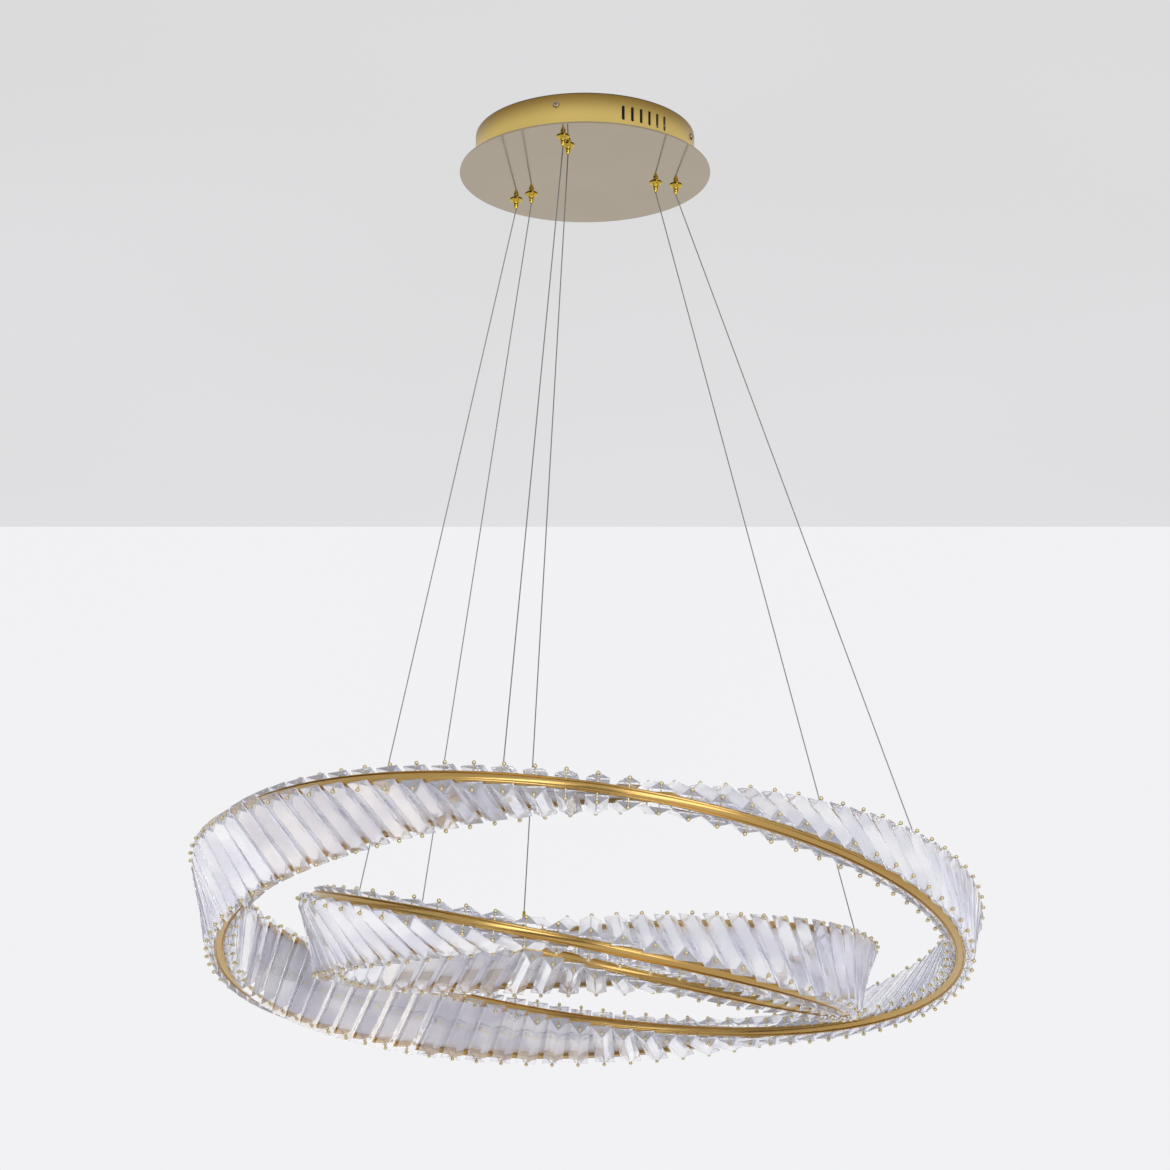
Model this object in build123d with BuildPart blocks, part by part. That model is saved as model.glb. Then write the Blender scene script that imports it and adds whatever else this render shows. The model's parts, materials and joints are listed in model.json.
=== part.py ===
from build123d import *
import os
from dataclasses import dataclass
from math import cos, radians, sin

# LED ring chandelier: a round canopy on the ceiling and two twisted crystal rings on steel wires.
# Millimetres, +Z up, +Y away from the viewer. The origin is on the ceiling, on the canopy's axis.

os.makedirs("parts", exist_ok=True)

# Canopy ---------------------------------------------------------------------------------------
canopy_height = 42.0
plate_radius = 135.0
plate_thickness = 2.0
drum_radius = 118.0
drum_wall = 1.2
drum_top_gap = 0.5
drum_flange = 6.0

vent_count = 6
vent_height = 16.5
vent_width = 3.5
vent_pitch = 5.12            # degrees round the drum
vent_centre = -57.2          # degrees round the drum
vent_level = 22.5            # above the plate's lower face

side_screw_count = 4
side_screw_azimuth = -15.0
side_screw_level = 30.5      # above the plate's lower face
side_screw_radius = 2.0
side_screw_head_radius = 3.6
side_screw_head = 2.2
side_screw_length = 9.0
cross_slot_length = 3.6
cross_slot_width = 0.8
cross_slot_depth = 1.3
screw_clearance = 0.25
thread_clearance = 0.03

stud_count = 4
stud_azimuth = 30.0
stud_radius = 1.5
stud_length = 5.5
nut_radius = 2.8
nut_height = 2.4

bracket_thickness = 2.0
bracket_arm_width = 26.0
bracket_hub_radius = 32.0
bracket_tab_gap = 2.6        # between a tab and the drum wall
bracket_tab_length = 18.0
ceiling_hole_circle = 70.0   # radius
ceiling_hole_radius = 2.6
supply_hole_radius = 12.0
earth_screw_place = 50.0     # from the axis, on the arm at the side screw azimuth

# Electrical pieces in the canopy ----------------------------------------------------------------
driver_length = 110.0
driver_width = 34.0
driver_height = 22.0
driver_wall = 1.5
driver_offset = 27.0         # from the canopy's centre line
driver_board_thickness = 1.6
tape_thickness = 1.0
tape_margin = 4.0
terminal_size = (26.0, 20.0, 14.0)
terminal_place = (80.0, -26.0)
terminal_poles = 3
lead_radius = 1.1
lead_gap = 0.3

# Wire grippers ----------------------------------------------------------------------------------
wire_azimuths = (137.0, 257.0, 17.0)
outer_gripper_circle = 103.0   # radius
inner_gripper_circle = 80.0    # radius
wire_radius = 0.6
wire_hole_radius = 0.95
gripper_flange_radius = 7.0
gripper_flange = 1.2
gripper_waist_radius = 3.9
gripper_tip_radius = 3.0
gripper_reach = 5.0            # below the plate
gripper_thread_radius = 4.0
gripper_top = 16.0             # above the plate's lower face
gripper_cap = 2.0
spring_chamber_radius = 3.3
plunger_radius = 2.2
plunger_clearance = 0.1
collar_radius = 3.0
collar_height = 1.6
nozzle_travel = 1.5
nozzle_gap = 0.2
nozzle_radius = 2.7
nozzle_rim = 0.6
nozzle_waist_radius = 1.9
nozzle_tip_radius = 1.4
nozzle_height = 4.4
locknut_radius = 7.2
locknut_height = 3.6
tail_length = 24.0             # of wire above the plate
wire_end_gap = 0.4

# Ring section: x across the strip, z out of a crystal face ---------------------------------------
strip_half_width = 40.2
rail_width = 6.0
rail_half_height = 5.0
web_half_thickness = 1.0
led_strip_width = 10.0
led_strip_thickness = 1.2
led_gap = 0.15
led_chip = 5.0
led_chip_height = 1.5
chip_gap = 0.1

# One crystal bar -----------------------------------------------------------------------------------
bar_length = 87.0
bar_width = 21.8
bar_height = 8.4
bar_standoff = 2.2            # above the rail, because the strip turns under the flat bar
bar_girdle = 1.5
ridge_length = 63.0
ridge_width = 1.0

# One crystal pin ------------------------------------------------------------------------------------
pin_place = 39.2              # from the strip's centre line
pin_shaft_radius = 0.8
pin_hole_radius = 1.0
pin_collar_radius = 1.0
pin_head_radius = 2.2
pin_head_level = 13.8         # of the head's centre, from the middle of the strip
pin_press_depth = 1.2

# Wire anchors ---------------------------------------------------------------------------------------
anchor_ball_radius = 2.8
anchor_inset = 0.8            # of the ball into the rail
ferrule_radius = 1.5
ferrule_length = 9.0
post_place = -10.0            # across the strip
post_radius = 1.2
post_level = 12.0             # of the post's top, from the middle of the strip
post_depth = 0.6              # into the web


@dataclass(frozen=True)
class Ring:
    """One twisted strip, bent round once and turned once about its own centre line."""

    name: str
    radius: float
    bars: int
    centre: tuple
    tilt_x: float
    tilt_y: float
    phase: float
    gripper_circle: float


outer_ring = Ring("outer", 380.0, 90, (2.6, -4.3, -869.6), -6.22, 2.65, 258.0, outer_gripper_circle)
inner_ring = Ring("inner", 270.7, 63, (2.0, 4.8, -899.2), 8.38, 4.78, 256.7, inner_gripper_circle)
rings = (outer_ring, inner_ring)

plate_bottom = -canopy_height
plate_top = plate_bottom + plate_thickness
drum_inner = drum_radius - drum_wall
screw_level = plate_bottom + side_screw_level


def tilted(ring, vector):
    return vector.rotate(Axis.X, ring.tilt_x).rotate(Axis.Y, ring.tilt_y)


def station(ring, azimuth, face=1):
    """The plane of the strip at an azimuth: x across the strip, z out of the chosen crystal face."""
    outward = Vector(1, 0, 0).rotate(Axis.Z, azimuth)
    turn = radians(ring.phase - azimuth)
    across = outward * cos(turn) + Vector(0, 0, 1) * sin(turn)
    normal = Vector(0, 0, 1) * cos(turn) - outward * sin(turn)
    origin = Vector(*ring.centre) + tilted(ring, outward * ring.radius)
    return Plane(origin=origin, x_dir=tilted(ring, across), z_dir=tilted(ring, normal) * face)


def bar_azimuths(ring):
    """Bars stand each side of every wire, so that a wire always comes down between two of them."""
    pitch = 360.0 / ring.bars
    return [wire_azimuths[2] + pitch * (index + 0.5) for index in range(ring.bars)]


def gripper_places():
    """Name, ring and place of the six wire grippers."""
    places = []
    for ring in rings:
        for number, azimuth in enumerate(wire_azimuths, start=1):
            at = Vector(ring.gripper_circle, 0, 0).rotate(Axis.Z, azimuth)
            places.append((f"{ring.name}_{number}", ring, Location((at.X, at.Y, 0))))
    return places


def finish(part, name):
    part.label = name
    export_step(part, f"parts/{name}.step")


# Ceiling bracket -------------------------------------------------------------------------------------
arm_end = drum_inner - bracket_tab_gap
with BuildPart() as ceiling_bracket:
    with BuildSketch(Plane.XY.offset(-bracket_thickness)):
        Circle(bracket_hub_radius)
        for arm in range(side_screw_count):
            azimuth = side_screw_azimuth + 360 / side_screw_count * arm
            with Locations(Rotation(0, 0, azimuth) * Pos(arm_end / 2, 0, 0)):
                Rectangle(arm_end, bracket_arm_width)
    extrude(amount=bracket_thickness)
    for arm in range(side_screw_count):
        azimuth = side_screw_azimuth + 360 / side_screw_count * arm
        radial = Vector(1, 0, 0).rotate(Axis.Z, azimuth)
        tab_face = Plane(origin=radial * arm_end, x_dir=radial.rotate(Axis.Z, 90), z_dir=-radial)
        with BuildSketch(tab_face):
            with Locations((0, bracket_tab_length / 2)):
                Rectangle(bracket_arm_width, bracket_tab_length)
        extrude(amount=bracket_thickness)
        with BuildSketch(tab_face):
            with Locations((0, -screw_level)):
                Circle(side_screw_radius + thread_clearance)
        extrude(amount=bracket_thickness, mode=Mode.SUBTRACT)
    with Locations((0, 0, 0)):
        Hole(supply_hole_radius)
    with PolarLocations(ceiling_hole_circle, side_screw_count, start_angle=side_screw_azimuth):
        Hole(ceiling_hole_radius)
    with PolarLocations(earth_screw_place, 1, start_angle=side_screw_azimuth):
        Hole(side_screw_radius + thread_clearance)
finish(ceiling_bracket.part, "ceiling_bracket")

# Canopy drum: wall and inner flange, with vents and screw holes -----------------------------------------
drum_height = -drum_top_gap - plate_top
with BuildPart() as canopy_drum:
    with BuildSketch(Plane.XY.offset(plate_top)):
        Circle(drum_radius)
        Circle(drum_inner, mode=Mode.SUBTRACT)
    extrude(amount=drum_height)
    with BuildSketch(Plane.XY.offset(plate_top)):
        Circle(drum_inner)
        Circle(drum_inner - drum_flange, mode=Mode.SUBTRACT)
    extrude(amount=drum_wall)
    for vent in range(vent_count):
        azimuth = vent_centre + vent_pitch * (vent - (vent_count - 1) / 2)
        radial = Vector(1, 0, 0).rotate(Axis.Z, azimuth)
        wall_face = Plane(
            origin=radial * (drum_radius + 1) + Vector(0, 0, plate_bottom + vent_level),
            x_dir=Vector(0, 0, 1),
            z_dir=-radial,
        )
        with BuildSketch(wall_face):
            SlotOverall(vent_height, vent_width)
        extrude(amount=drum_wall + 2, mode=Mode.SUBTRACT)
    for screw in range(side_screw_count):
        azimuth = side_screw_azimuth + 360 / side_screw_count * screw
        radial = Vector(1, 0, 0).rotate(Axis.Z, azimuth)
        wall_face = Plane(
            origin=radial * (drum_radius + 1) + Vector(0, 0, screw_level),
            x_dir=Vector(0, 0, 1),
            z_dir=-radial,
        )
        with BuildSketch(wall_face):
            Circle(side_screw_radius + screw_clearance)
        extrude(amount=drum_wall + 2, mode=Mode.SUBTRACT)
    stud_circle = drum_inner - drum_flange / 2
    with Locations((0, 0, plate_top + drum_wall)):
        with PolarLocations(stud_circle, stud_count, start_angle=stud_azimuth):
            Hole(stud_radius + screw_clearance, depth=drum_wall)
finish(canopy_drum.part, "canopy_drum")

# Mirror plate with welded studs -----------------------------------------------------------------------------
gripper_locations = [place for _, _, place in gripper_places()]
with BuildPart() as canopy_plate:
    with BuildSketch(Plane.XY.offset(plate_bottom)):
        Circle(plate_radius)
        with Locations(*gripper_locations):
            Circle(gripper_thread_radius + screw_clearance, mode=Mode.SUBTRACT)
    extrude(amount=plate_thickness)
    chamfer(canopy_plate.edges().filter_by(GeomType.CIRCLE).sort_by(SortBy.RADIUS)[-2:], 0.4)
    with BuildSketch(Plane.XY.offset(plate_top)):
        with PolarLocations(stud_circle, stud_count, start_angle=stud_azimuth):
            Circle(stud_radius)
    extrude(amount=stud_length)
finish(canopy_plate.part, "canopy_plate")

with BuildPart() as plate_nuts:
    with BuildSketch(Plane.XY.offset(plate_top + drum_wall)):
        with PolarLocations(stud_circle, stud_count, start_angle=stud_azimuth):
            RegularPolygon(nut_radius, 6)
            Circle(stud_radius + thread_clearance, mode=Mode.SUBTRACT)
    extrude(amount=nut_height)
finish(plate_nuts.part, "plate_nuts")

# Side screws, through the drum into the bracket's tabs -----------------------------------------------------
with BuildPart() as side_screw:
    with BuildSketch():
        Circle(side_screw_radius)
    extrude(amount=-side_screw_length)
    with BuildSketch():
        Circle(side_screw_head_radius)
    extrude(amount=side_screw_head)
    head_rim = side_screw.edges().filter_by(GeomType.CIRCLE).group_by(Axis.Z)[-1]
    fillet(head_rim, side_screw_head * 0.7)
    with BuildSketch(Plane.XY.offset(side_screw_head - cross_slot_depth)):
        Rectangle(cross_slot_length, cross_slot_width)
        Rectangle(cross_slot_width, cross_slot_length)
    extrude(amount=cross_slot_depth, mode=Mode.SUBTRACT)

with BuildPart() as canopy_side_screws:
    for screw in range(side_screw_count):
        azimuth = side_screw_azimuth + 360 / side_screw_count * screw
        radial = Vector(1, 0, 0).rotate(Axis.Z, azimuth)
        head_seat = radial * (drum_radius + 0.05) + Vector(0, 0, screw_level)
        with Locations(Plane(origin=head_seat, x_dir=Vector(0, 0, 1), z_dir=radial)):
            add(side_screw.part)
finish(canopy_side_screws.part, "canopy_side_screws")

with BuildPart() as earth_screw:
    earth_at = Vector(earth_screw_place, 0, -bracket_thickness).rotate(Axis.Z, side_screw_azimuth)
    with Locations(Plane(origin=earth_at, x_dir=(1, 0, 0), z_dir=(0, 0, -1))):
        with Locations((0, 0, -bracket_thickness)):
            Cylinder(
                side_screw_radius,
                bracket_thickness,
                align=(Align.CENTER, Align.CENTER, Align.MIN),
            )
        Cylinder(
            side_screw_head_radius,
            side_screw_head,
            align=(Align.CENTER, Align.CENTER, Align.MIN),
        )
finish(earth_screw.part, "earth_screw")

# Wire grippers: fixed body, lock nut, spring and sprung nozzle -------------------------------------------------
flange_bottom = plate_bottom - gripper_flange
body_bottom = plate_bottom - gripper_reach
body_top = plate_bottom + gripper_top
chamber_bottom = flange_bottom - 0.8
chamber_top = body_top - gripper_cap
collar_bottom = chamber_bottom
collar_top = collar_bottom + collar_height
nozzle_top = body_bottom - nozzle_travel - nozzle_gap
nozzle_bottom = nozzle_top - nozzle_height

with BuildPart() as gripper_body:
    with BuildSketch(Plane.XZ):
        with BuildLine():
            Polyline(
                (plunger_radius + plunger_clearance, chamber_bottom),
                (plunger_radius + plunger_clearance, body_bottom),
                (gripper_tip_radius, body_bottom),
            )
            ThreePointArc(
                (gripper_tip_radius, body_bottom),
                (gripper_waist_radius, (body_bottom + flange_bottom) / 2),
                (gripper_flange_radius, flange_bottom),
            )
            Polyline(
                (gripper_flange_radius, flange_bottom),
                (gripper_flange_radius, plate_bottom),
                (gripper_thread_radius, plate_bottom),
                (gripper_thread_radius, body_top),
                (wire_hole_radius, body_top),
                (wire_hole_radius, chamber_top),
                (spring_chamber_radius, chamber_top),
                (spring_chamber_radius, chamber_bottom),
                (plunger_radius + plunger_clearance, chamber_bottom),
            )
        make_face()
    revolve(axis=Axis.Z)

with BuildPart() as wire_gripper_bodies:
    with Locations(*gripper_locations):
        add(gripper_body.part)
finish(wire_gripper_bodies.part, "wire_gripper_bodies")

with BuildPart() as gripper_locknuts:
    with BuildSketch(Plane.XY.offset(plate_top)):
        with Locations(*gripper_locations):
            RegularPolygon(locknut_radius, 6)
            Circle(gripper_thread_radius + thread_clearance, mode=Mode.SUBTRACT)
    extrude(amount=locknut_height)
finish(gripper_locknuts.part, "gripper_locknuts")

with BuildPart() as nozzle:
    with BuildSketch(Plane.XZ):
        with BuildLine():
            Polyline(
                (nozzle_tip_radius, nozzle_bottom),
                (wire_hole_radius, nozzle_bottom),
                (wire_hole_radius, collar_top),
                (collar_radius, collar_top),
                (collar_radius, collar_bottom),
                (plunger_radius, collar_bottom),
                (plunger_radius, nozzle_top),
                (nozzle_radius, nozzle_top),
                (nozzle_radius, nozzle_top - nozzle_rim),
            )
            ThreePointArc(
                (nozzle_radius, nozzle_top - nozzle_rim),
                (nozzle_waist_radius, (nozzle_top + nozzle_bottom) / 2 - nozzle_rim / 2),
                (nozzle_tip_radius, nozzle_bottom),
            )
        make_face()
    revolve(axis=Axis.Z)

for place_name, ring, place in gripper_places():
    with BuildPart() as gripper_nozzle:
        with Locations(place):
            add(nozzle.part)
    finish(gripper_nozzle.part, f"gripper_nozzle_{place_name}")
    with BuildPart() as gripper_spring:
        with BuildSketch(Plane.XY.offset(collar_top)):
            with Locations(place):
                Circle(collar_radius)
                Circle(collar_radius - 0.9, mode=Mode.SUBTRACT)
        extrude(amount=chamber_top - collar_top)
    finish(gripper_spring.part, f"gripper_spring_{place_name}")

with BuildPart() as wire_tails:
    with BuildSketch(Plane.XY.offset(nozzle_bottom)):
        with Locations(*gripper_locations):
            Circle(wire_radius)
    extrude(amount=plate_top + tail_length - nozzle_bottom)
finish(wire_tails.part, "wire_tails")

# Drivers, terminal block and leads ----------------------------------------------------------------------------
driver_bottom = plate_top + tape_thickness
driver_split = driver_bottom + driver_height - 6.0
board_level = driver_bottom + driver_wall

with BuildPart() as driver_tapes:
    with BuildSketch(Plane.XY.offset(plate_top)):
        with Locations((0, driver_offset), (0, -driver_offset)):
            Rectangle(driver_length - 2 * tape_margin, driver_width - 2 * tape_margin)
        with Locations(terminal_place):
            Rectangle(terminal_size[0] - tape_margin, terminal_size[1] - tape_margin)
    extrude(amount=tape_thickness)
finish(driver_tapes.part, "mounting_tapes")

for ring, side in ((outer_ring, 1), (inner_ring, -1)):
    with BuildPart() as driver_case:
        with BuildSketch(Plane.XY.offset(driver_bottom)):
            with Locations((0, side * driver_offset)):
                RectangleRounded(driver_length, driver_width, 3)
        extrude(amount=driver_split - driver_bottom)
        with BuildSketch(Plane.XY.offset(driver_bottom + driver_wall)):
            with Locations((0, side * driver_offset)):
                Rectangle(driver_length - 2 * driver_wall, driver_width - 2 * driver_wall)
        extrude(amount=driver_split - driver_bottom, mode=Mode.SUBTRACT)
    finish(driver_case.part, f"{ring.name}_driver_case")
    with BuildPart() as driver_lid:
        with BuildSketch(Plane.XY.offset(driver_split)):
            with Locations((0, side * driver_offset)):
                RectangleRounded(driver_length, driver_width, 3)
        extrude(amount=driver_bottom + driver_height - driver_split)
        with BuildSketch(Plane.XY.offset(driver_split)):
            with Locations((0, side * driver_offset)):
                Rectangle(driver_length - 2 * driver_wall, driver_width - 2 * driver_wall)
        extrude(amount=driver_bottom + driver_height - driver_split - driver_wall, mode=Mode.SUBTRACT)
    finish(driver_lid.part, f"{ring.name}_driver_lid")

with BuildPart() as driver_boards:
    for side in (1, -1):
        with BuildSketch(Plane.XY.offset(board_level)):
            with Locations((0, side * driver_offset)):
                Rectangle(driver_length - 2 * driver_wall - 2, driver_width - 2 * driver_wall - 1)
        extrude(amount=driver_board_thickness)
        with BuildSketch(Plane.XY.offset(board_level + driver_board_thickness)):
            with Locations((-18, side * driver_offset)):
                Rectangle(22, 20)
            with Locations((14, side * driver_offset), (30, side * driver_offset)):
                Circle(5)
        extrude(amount=8)
finish(driver_boards.part, "driver_boards")

terminal_bottom = plate_top + tape_thickness
pole_pitch = terminal_size[1] / terminal_poles
pole_offsets = [pole_pitch * (pole - (terminal_poles - 1) / 2) for pole in range(terminal_poles)]
pole_level = terminal_bottom + 5.0
screw_depth = 4.0
with BuildPart() as terminal_block:
    with BuildSketch(Plane.XY.offset(terminal_bottom)):
        with Locations(terminal_place):
            Rectangle(terminal_size[0], terminal_size[1])
    extrude(amount=terminal_size[2])
    for offset in pole_offsets:
        for end in (-1, 1):
            screw_at = (terminal_place[0] + end * terminal_size[0] / 4, terminal_place[1] + offset)
            with Locations((screw_at[0], screw_at[1], terminal_bottom + terminal_size[2])):
                Hole(1.8, depth=screw_depth)
        mouth = Plane(
            origin=(terminal_place[0] - terminal_size[0] / 2, terminal_place[1] + offset, pole_level),
            x_dir=(0, 1, 0),
            z_dir=(1, 0, 0),
        )
        with BuildSketch(mouth):
            Circle(lead_radius + lead_gap)
        extrude(amount=8, mode=Mode.SUBTRACT)
finish(terminal_block.part, "terminal_block")

with BuildPart() as terminal_screws:
    for offset in pole_offsets:
        for end in (-1, 1):
            with BuildSketch(Plane.XY.offset(terminal_bottom + terminal_size[2] - screw_depth)):
                with Locations((terminal_place[0] + end * terminal_size[0] / 4, terminal_place[1] + offset)):
                    Circle(1.75)
            extrude(amount=screw_depth - 0.5)
finish(terminal_screws.part, "terminal_screws")

lead_level = driver_bottom + driver_height / 2
driver_end = driver_length / 2 + lead_gap
block_left = terminal_place[0] - terminal_size[0] / 2
with BuildPart() as supply_leads:
    for number, (side, offset) in enumerate(((1, pole_offsets[2]), (-1, pole_offsets[0]))):
        start = Vector(block_left + 3, terminal_place[1] + offset, pole_level)
        corner = Vector((block_left + driver_end) / 2, terminal_place[1] + offset, pole_level)
        second = Vector((block_left + driver_end) / 2, side * driver_offset, lead_level)
        stop = Vector(driver_end, side * driver_offset, lead_level)
        with BuildLine() as lead_path:
            FilletPolyline(start, corner, second, stop, radius=2.2)
        with BuildSketch(Plane(origin=start, z_dir=lead_path.wire() % 0)):
            Circle(lead_radius)
        sweep(path=lead_path.wire())
finish(supply_leads.part, "supply_leads")

# Ring pieces -------------------------------------------------------------------------------------------------------
rail_root = strip_half_width - rail_width
strip_base = web_half_thickness + led_gap
bar_base = rail_half_height + bar_standoff
frame_outline = [
    (strip_half_width, rail_half_height),
    (rail_root, rail_half_height),
    (rail_root, web_half_thickness),
    (-rail_root, web_half_thickness),
    (-rail_root, rail_half_height),
    (-strip_half_width, rail_half_height),
    (-strip_half_width, -rail_half_height),
    (-rail_root, -rail_half_height),
    (-rail_root, -web_half_thickness),
    (rail_root, -web_half_thickness),
    (rail_root, -rail_half_height),
    (strip_half_width, -rail_half_height),
]
led_strip_outline = [
    (led_strip_width / 2, strip_base),
    (-led_strip_width / 2, strip_base),
    (-led_strip_width / 2, strip_base + led_strip_thickness),
    (led_strip_width / 2, strip_base + led_strip_thickness),
]


def twisted_arc(ring, outline, azimuths, face=1):
    """One outline carried along the strip, ruled from each azimuth to the next."""
    with BuildPart() as arc:
        for azimuth in azimuths:
            across = station(ring, azimuth, face)
            with BuildSketch(Plane(origin=across.origin, x_dir=across.x_dir, z_dir=-across.y_dir)):
                with BuildLine():
                    Polyline(*outline, close=True)
                make_face()
        loft(ruled=True)
    return arc.part


def crown_facets():
    """Planes that grind the crown: one from each end and each side of the bar up to its ridge."""
    spans = (
        (Vector(1, 0, 0), bar_length / 2, ridge_length / 2),
        (Vector(0, 1, 0), bar_width / 2, ridge_width / 2),
    )
    planes = []
    for axis, half, ridge_half in spans:
        for outward in (axis, -axis):
            foot = outward * half + Vector(0, 0, bar_girdle)
            top = outward * ridge_half + Vector(0, 0, bar_height)
            level = Vector(0, 0, 1).cross(outward)
            planes.append(Plane(origin=foot, x_dir=level, z_dir=level.cross(top - foot)))
    return planes


# One crystal bar: a long flat-backed block ground to a hipped ridge, bored at both ends for its pins
with BuildPart() as crystal_bar:
    Box(bar_length, bar_width, bar_height, align=(Align.CENTER, Align.CENTER, Align.MIN))
    for facet in crown_facets():
        split(bisect_by=facet, keep=Keep.BOTTOM)
    with Locations((pin_place, 0, bar_height), (-pin_place, 0, bar_height)):
        Hole(pin_hole_radius)

# One pin: pressed into the rail, with a collar under the bar and a polished ball for a head
with BuildPart() as crystal_pin:
    with BuildSketch(Plane.XZ):
        with BuildLine():
            Polyline(
                (0, rail_half_height - pin_press_depth),
                (pin_collar_radius, rail_half_height - pin_press_depth),
                (pin_collar_radius, bar_base),
                (pin_shaft_radius, bar_base),
                (pin_shaft_radius, pin_head_level),
                (0, pin_head_level),
                close=True,
            )
        make_face()
    revolve(axis=Axis.Z)
    with Locations((0, 0, pin_head_level)):
        Sphere(pin_head_radius)

# One anchor ball for a rail's edge, and one post for the web; both end in a ferrule round the wire
def wire_foot(ring, azimuth):
    """Where a wire's anchor is centred: on one edge, on the web between two bars, or on the other edge."""
    strip = station(ring, azimuth)
    edge = strip_half_width + anchor_ball_radius - anchor_inset
    places = dict(zip(wire_azimuths, ((edge, 0, 0), (post_place, 0, post_level), (-edge, 0, 0))))
    return strip.from_local_coords(places[azimuth])


def wire_head(ring, azimuth):
    """Where a wire leaves its gripper's nozzle."""
    at = Vector(ring.gripper_circle, 0, 0).rotate(Axis.Z, azimuth)
    return Vector(at.X, at.Y, nozzle_bottom - wire_end_gap)


for ring in rings:
    pitch = 360 / ring.bars
    gaps = [wire_azimuths[2] + pitch * step for step in range(ring.bars + 1)]
    third = ring.bars // 3
    with BuildPart() as ring_frame:
        for part in range(3):
            add(twisted_arc(ring, frame_outline, gaps[part * third:(part + 1) * third + 1]))
    finish(ring_frame.part, f"{ring.name}_frame")

    with BuildPart() as led_strips:
        for face in (1, -1):
            for part in range(3):
                add(twisted_arc(ring, led_strip_outline, gaps[part * third:(part + 1) * third + 1], face))
    finish(led_strips.part, f"{ring.name}_led_strips")

    seats = {"a": [], "b": []}
    for start, stop in zip(gaps[:-1], gaps[1:]):
        chord_middle = (station(ring, start).origin + station(ring, stop).origin) / 2
        for side, face in (("a", 1), ("b", -1)):
            middle = station(ring, (start + stop) / 2, face)
            seats[side].append(Plane(origin=chord_middle, x_dir=middle.x_dir, z_dir=middle.z_dir))

    for side in seats:
        bars = [Location(seat) * Pos(0, 0, bar_base) for seat in seats[side]]
        with BuildPart() as crystals:
            with Locations(*bars):
                add(crystal_bar.part)
        finish(crystals.part, f"{ring.name}_crystals_{side}")

    both_faces = [Location(seat) for seat in seats["a"] + seats["b"]]
    with BuildPart() as led_chips:
        chips = [seat * Pos(0, 0, strip_base + led_strip_thickness + chip_gap) for seat in both_faces]
        with Locations(*chips):
            Box(led_chip, led_chip, led_chip_height, align=(Align.CENTER, Align.CENTER, Align.MIN))
    finish(led_chips.part, f"{ring.name}_led_chips")

    with BuildPart() as pins:
        pin_seats = [seat * Pos(end * pin_place, 0, 0) for seat in both_faces for end in (-1, 1)]
        with Locations(*pin_seats):
            add(crystal_pin.part)
    finish(pins.part, f"{ring.name}_pins")

    with BuildPart() as anchors:
        for azimuth in wire_azimuths:
            foot, head = wire_foot(ring, azimuth), wire_head(ring, azimuth)
            with BuildSketch(Plane(origin=foot, z_dir=head - foot)):
                Circle(ferrule_radius)
            extrude(amount=ferrule_length)
            if azimuth == wire_azimuths[1]:
                strip = station(ring, azimuth)
                post_foot = strip.from_local_coords((post_place, 0, web_half_thickness - post_depth))
                with BuildSketch(Plane(origin=post_foot, z_dir=strip.z_dir)):
                    Circle(post_radius)
                extrude(amount=post_level - web_half_thickness + post_depth)
                with Locations(foot):
                    Sphere(ferrule_radius)
            else:
                with Locations(foot):
                    Sphere(anchor_ball_radius)
    finish(anchors.part, f"{ring.name}_wire_anchors")

    for number, azimuth in enumerate(wire_azimuths, start=1):
        foot, head = wire_foot(ring, azimuth), wire_head(ring, azimuth)
        ferrule_end = foot + (head - foot).normalized() * ferrule_length
        with BuildPart() as wire:
            with BuildSketch(Plane(origin=ferrule_end, z_dir=head - foot)):
                Circle(wire_radius)
            extrude(amount=(head - ferrule_end).length)
        finish(wire.part, f"{ring.name}_wire_{number}")
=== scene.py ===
import json
import math

import bmesh
import bpy
from mathutils import Matrix, Vector

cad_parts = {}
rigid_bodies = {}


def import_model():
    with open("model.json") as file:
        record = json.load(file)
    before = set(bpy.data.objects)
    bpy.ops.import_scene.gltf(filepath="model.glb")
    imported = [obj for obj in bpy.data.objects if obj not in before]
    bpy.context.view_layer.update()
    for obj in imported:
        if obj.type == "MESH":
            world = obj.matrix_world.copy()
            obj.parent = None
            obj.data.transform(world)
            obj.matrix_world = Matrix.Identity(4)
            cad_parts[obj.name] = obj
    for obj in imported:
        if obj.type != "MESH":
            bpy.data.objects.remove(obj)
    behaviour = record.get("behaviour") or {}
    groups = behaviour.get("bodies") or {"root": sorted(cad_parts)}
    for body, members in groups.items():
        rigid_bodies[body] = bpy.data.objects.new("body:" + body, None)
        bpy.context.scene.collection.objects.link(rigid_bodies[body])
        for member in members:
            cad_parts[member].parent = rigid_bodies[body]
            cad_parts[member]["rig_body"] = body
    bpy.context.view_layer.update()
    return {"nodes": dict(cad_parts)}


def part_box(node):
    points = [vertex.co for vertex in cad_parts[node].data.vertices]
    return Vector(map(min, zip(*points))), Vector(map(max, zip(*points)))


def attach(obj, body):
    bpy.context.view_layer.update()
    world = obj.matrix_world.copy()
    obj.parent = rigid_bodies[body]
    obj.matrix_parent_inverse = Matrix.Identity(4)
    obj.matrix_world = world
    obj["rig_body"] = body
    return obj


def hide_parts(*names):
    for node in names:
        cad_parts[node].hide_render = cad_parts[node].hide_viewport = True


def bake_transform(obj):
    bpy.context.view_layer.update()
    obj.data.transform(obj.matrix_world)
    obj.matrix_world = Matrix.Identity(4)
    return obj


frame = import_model()
mm = 0.001
azimuths = (137.0, 257.0, 17.0)  # where the wires stand, degrees round the canopy
print("frame loaded:", len(frame["nodes"]), "nodes")


def toLinear(hexColour):
    # sRGB hex to the linear RGBA that nodes take
    parts = [int(hexColour[i:i + 2], 16) / 255 for i in (1, 3, 5)]
    return [c / 12.92 if c <= 0.04045 else ((c + 0.055) / 1.055) ** 2.4 for c in parts] + [1.0]


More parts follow.
